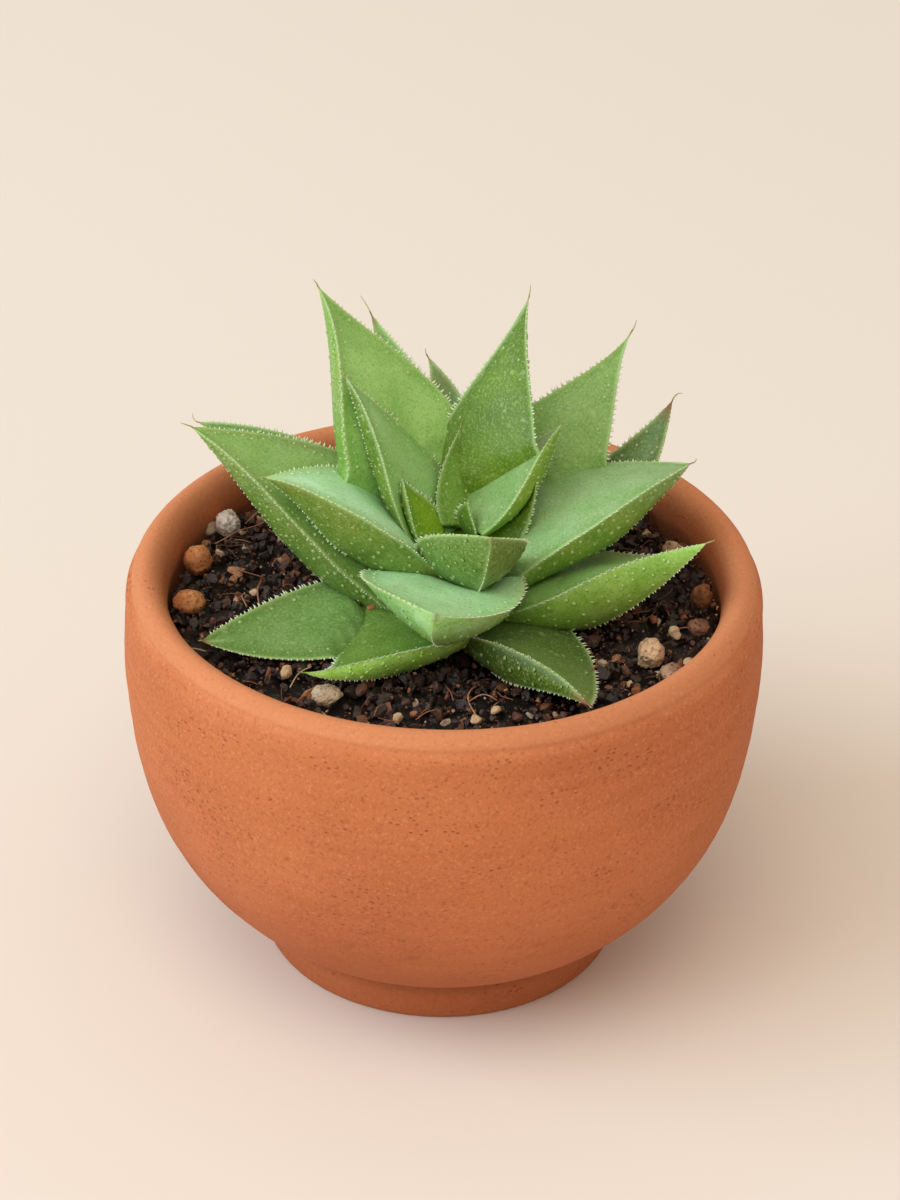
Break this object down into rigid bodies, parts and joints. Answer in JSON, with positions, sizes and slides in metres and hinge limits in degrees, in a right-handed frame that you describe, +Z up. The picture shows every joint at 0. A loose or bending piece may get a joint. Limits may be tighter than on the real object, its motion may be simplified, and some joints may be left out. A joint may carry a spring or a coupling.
{
  "type": "potted haworthia",
  "caption": "Succulent rosette of keeled, toothed leaves growing in gritty soil in a round terracotta bowl with a foot ring and a drain hole.",
  "frame": {"origin": "middle of the underside of the pot's foot ring, on the pot's axis", "axes": "+Z up along the pot's axis; -Y towards the side from which the rosette was pictured; +X to the right of that view"},
  "size_m": [0.12, 0.12, 0.1259],
  "materials": {
    "terracotta": "matte",
    "potting_soil": "matte",
    "stem": "matte",
    "leaf": "satin",
    "pumice": "matte",
    "baked_clay_grain": "matte",
    "lava_grain": "matte"
  },
  "bodies": {
    "root": {"pot": "terracotta", "soil": "potting_soil", "stem": "stem", "leaf_bud": "leaf", "leaf_heart_rear": "leaf", "leaf_heart_left": "leaf", "leaf_heart_front": "leaf", "leaf_heart_right": "leaf", "leaf_inner_rear_left": "leaf", "leaf_tall_rear": "leaf", "leaf_right_upper": "leaf", "leaf_left_inner": "leaf", "leaf_front": "leaf", "leaf_tall_left": "leaf", "leaf_tall_right": "leaf", "leaf_right_lower": "leaf", "leaf_left_long": "leaf", "leaf_front_right": "leaf", "leaf_front_left": "leaf", "leaf_left_low": "leaf", "leaf_rear_left": "leaf", "leaf_rear_middle": "leaf", "leaf_rear_right": "leaf", "leaf_left_rear": "leaf", "leaf_low_rear_left": "leaf", "leaf_low_rear_right": "leaf", "pumice_left": "pumice", "pumice_right": "pumice", "pumice_front": "pumice", "pumice_rear": "pumice", "pumice_chip": "pumice", "clay_grain_left": "baked_clay_grain", "clay_grain_left_low": "baked_clay_grain", "clay_grain_right": "baked_clay_grain", "clay_grain_rear": "baked_clay_grain", "lava_right": "lava_grain", "lava_small_right": "lava_grain", "lava_rear": "lava_grain"}
  },
  "joints": []
}
